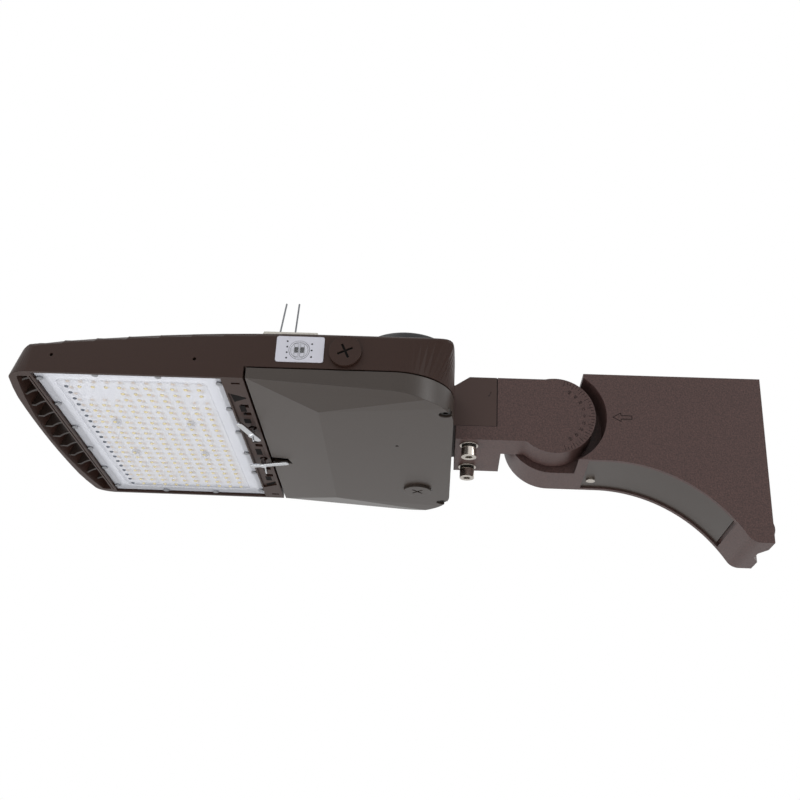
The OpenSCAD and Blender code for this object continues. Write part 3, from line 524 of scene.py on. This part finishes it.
def bracket_arrow():
    """The outline of an arrow that points at the disc, a thin raised line on the near face."""
    tip, neck, tail, half, barb = 49.6, 56.5, 65.9, 1.6, 4.0
    upper = [(tip, 0), (neck, barb), (neck, half), (tail, half)]
    lower = [(tail, -half), (neck, -half), (neck, -barb)]
    lines = [near_plate(s, -0.05, 0.12, DISC_FACE_Y) for s in loop_strokes(upper + lower, 0.5)]
    mesh_piece("bracket_arrow", merge(lines), mark_shade_black, "pole_arm")


disc_scale()
for angle in range(-60, 75, 15):
    disc_number(angle)
neck_joint()
bracket_arrow()


# ---------------------------------------------------------------- label, window and side plug


def label_and_window():
    """Two rows of plain dots on the label, and the round window: a pale disc printed with a ring
    and two slots, two black knobs and a clear cover."""
    cx, _, cz = box_mm("window_cap").mean(axis=0)
    dot_column, dot_r = 9.8, 0.75
    knob_dx = 2.3
    window_r, ring_r, line = 8, 6.9, 0.25
    slot_wide, slot_tall = 3.4, 11.2
    knob_wide, knob_tall = 2.7, 4.6
    # Heights out from the wall: the knobs clear the print, and the cover clears the knobs
    knob_low, knob_high = 0.7, 1.15
    cover_low, cover_high = 1.25, 1.4
    print_y = WALL_Y - LABEL_THICK

    dots = [disc(cx - dot_column, cz + dz, dot_r, 12) for dz in (7.6, 2.7, -2.2, -7.0)]
    dots += [disc(cx + dot_column, cz + dz, dot_r, 12) for dz in (5.6, 0.0, -5.8)]
    lines = loop_strokes(disc(cx, cz, ring_r, 48), line)
    for dx in (-knob_dx, knob_dx):
        lines += loop_strokes(rectangle(cx + dx, cz, slot_wide, slot_tall), line)
    marks = [near_plate(dot, -0.02, 0.06, print_y) for dot in dots]
    marks += [near_plate(stroked, -0.02, 0.05, print_y) for stroked in lines]
    mesh_piece("label_marks", merge(marks), dot_black, "head")

    window = disc(cx, cz, window_r)
    face = near_plate(window, 0, LABEL_THICK, WALL_Y)
    mesh_piece("window_face", face, label_film, "head")
    cover = near_plate(window, cover_low, cover_high, WALL_Y)
    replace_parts(mesh_piece("window_clear", cover, clear_cap, "head"), "window_cap")
    for name, dx in (("power_slide", -knob_dx), ("colour_slide", knob_dx)):
        knob = rectangle(cx + dx, cz, knob_wide, knob_tall)
        part = near_plate(knob, knob_low, knob_high, WALL_Y)
        mesh_piece(name + "_knob", part, dot_black, name)


def plug_shadow():
    """Painted shade on the floor of the cross slot in the side plug: two dark strokes across its
    centre, whose tops differ slightly so that they don't lie in one plane."""
    cx, _, cz = box_mm("side_plug").mean(axis=0)
    reach, wide, floor_y = 6.3, 1.75, -141.45
    parts = []
    for turn, top in ((25.4, 1.10254), (115.4, 1.11154)):
        way = reach * polar(turn)
        parts.append(near_plate(stroke((cx, cz) - way, (cx, cz) + way, wide), 0, top, floor_y))
    mesh_piece("side_plug_slots", merge(parts), mark_shade_black, "head")


label_and_window()
plug_shadow()


# ---------------------------------------------------------------- under the head


def optics():
    """A small dome over each LED, moulded on the lens: rings of shrinking radius below the lens
    face. The places are the chips' own, from the corners of their lowest faces. The column
    nearest the front is dark beads."""
    co = points_of(nodes["led_board"].data) / MM - PIVOT
    low = co[co[:, 2] < co[:, 2].min() + 0.05]
    chip_half, cols, rows = 1.4, 11, 20
    first, last = low.min(axis=0) + chip_half, low.max(axis=0) - chip_half
    step = (last - first)[:2] / (cols - 1, rows - 1)
    cell = np.unique(np.rint((low[:, :2] - first[:2]) / step).astype(int), axis=0)
    base = box_mm("lens")[0, 2]
    dome = tube([(0, 0, base + z) for z in (0.02, -0.7, -1.15)], [1.9, 1.5, 0.8], 8)
    for name, chosen, coat in (
        ("lens_domes", cell[cell[:, 0] > 0], dome_clear),
        ("lens_beads", cell[cell[:, 0] == 0], bead_glass),
    ):
        places = first[:2] + chosen * step
        parts = [(dome[0] + (*place, 0), dome[1]) for place in places]
        mesh_piece(name, merge(parts), coat, "head", smooth=True)


def channel_windows():
    """Painted shade where the latch channel's floor has its windows, and at the slanted recess at
    each end: thin dark plates on the floor.
    """
    low, high = CHANNEL_FLOOR_Z - 0.1, CHANNEL_FLOOR_Z + 0.1
    row_x = LATCH_X - 2.4
    # Each one's place and length across the head, and its width along it
    windows = [
        (-76.5, 12.5, 5),
        (-64.8, 3, 2.4),
        (-50.5, 9, 5.6),
        (-10, 15, 4.8),
        (20, 14, 5.2),
        (64, 8, 3.4),
        (89, 10.4, 5.4),
    ]
    outlines = [rectangle(row_x, y, wide, long) for y, long, wide in windows]
    outlines.append([(-269.5, -106), (-256.5, -98), (-268.5, -90)])
    outlines.append([(-268, 104), (-256.5, 96), (-266, 118)])
    parts = [plate(outline, low, high) for outline in outlines]
    mesh_piece("channel_windows", merge(parts), mark_shade_black, "head")


optics()
channel_windows()


# ---------------------------------------------------------------- studio

FLOOR_Z = -0.75
FLOOR_HALF = 6.0


def floor():
    """A plain pale floor under the light."""
    s = FLOOR_HALF
    mesh = bpy.data.meshes.new("floor")
    corners = [(-s, -s, FLOOR_Z), (s, -s, FLOOR_Z), (s, s, FLOOR_Z), (-s, s, FLOOR_Z)]
    mesh.from_pydata(corners, [], [(0, 1, 2, 3)])
    plane = bpy.data.objects.new("floor", mesh)
    bpy.context.scene.collection.objects.link(plane)
    # Matt painted board
    mesh.materials.append(finish("studio_floor", "#f4f4f4", 0.7))


def room():
    """Plain white for camera, mirror and glass rays, and for the rest a room that is brighter
    behind the light and dimmer behind the camera."""
    world = bpy.data.worlds.new("studio")
    bpy.context.scene.world = world
    world.use_nodes = True
    tree = world.node_tree
    tree.nodes.clear()
    path = add(tree, "ShaderNodeLightPath").outputs
    seen = path["Is Camera Ray"]
    for kind in ("Is Glossy Ray", "Is Transmission Ray"):
        either = [(0, seen), (1, path[kind])]
        seen = add(tree, "ShaderNodeMath", either, operation="MAXIMUM").outputs[0]
    white = add(tree, "ShaderNodeBackground", Color=(1, 1, 1, 1), Strength=1.0)
    way = add(tree, "ShaderNodeTexCoord").outputs["Generated"]
    split = add(tree, "ShaderNodeSeparateXYZ", [("Vector", way)])
    ramp = add(tree, "ShaderNodeMapRange", [("Value", split.outputs[1])])
    for key, value in (("From Min", -1), ("From Max", 1), ("To Min", 0.3), ("To Max", 1.1)):
        ramp.inputs[key].default_value = value
    dim = add(tree, "ShaderNodeBackground", [("Strength", ramp.outputs[0])], Color=(1, 1, 1, 1))
    both = [(0, seen), (1, dim.outputs[0]), (2, white.outputs[0])]
    mix = add(tree, "ShaderNodeMixShader", both)
    add(tree, "ShaderNodeOutputWorld", [("Surface", mix.outputs[0])])


def place_object(name, data, right, up, back, place):
    """Adds a lamp or camera whose own axes point right, up and back."""
    turn = np.eye(4)
    turn[:3, :3] = np.column_stack((right, up, back))
    turn[:3, 3] = place
    obj = bpy.data.objects.new(name, data)
    obj.matrix_world = Matrix(turn.tolist())
    bpy.context.scene.collection.objects.link(obj)
    return obj


def lamp(name, place, aim, size, watts):
    """A square soft lamp at a place, turned to face an aim."""
    data = bpy.data.lights.new(name, "AREA")
    data.size = size
    data.energy = watts
    back = np.array(place) - np.array(aim)
    back = back / np.linalg.norm(back)
    side = np.cross((0, 0, 1), back)
    side /= np.linalg.norm(side)
    place_object(name, data, side, np.cross(back, side), back, place)


def camera():
    """The photograph's view: a 50 mm lens on a 36 mm frame, 0.36 m below the pole face's centre.
    Its axes and place come from a fit of known points of the light to the photograph."""
    data = bpy.data.cameras.new("camera")
    data.lens = 50.0
    data.sensor_width = 36.0
    data.clip_start = 0.01
    data.clip_end = 50
    right = (0.99876807, 0.02128542, 0.04482481)
    down = np.array((0.03196058, 0.41506571, -0.90922988))
    ahead = np.array((-0.03795858, 0.90954241, 0.41387408))
    place = (-0.27592, -0.91897, -0.35764)
    bpy.context.scene.camera = place_object("camera", data, right, -down, -ahead, place)


floor()
room()
centre = (-0.3, 0.0, 0.0)
lamp("key", (-1.6, -1.2, 1.8), centre, 1.2, 12)
lamp("right_side", (1.5, -0.9, 0.5), centre, 0.8, 8)
lamp("low_fill", (-0.5, -0.1, -0.72), (-0.4, 0, 0), 1.1, 4.6)
camera()
bpy.context.scene.view_settings.view_transform = "Standard"
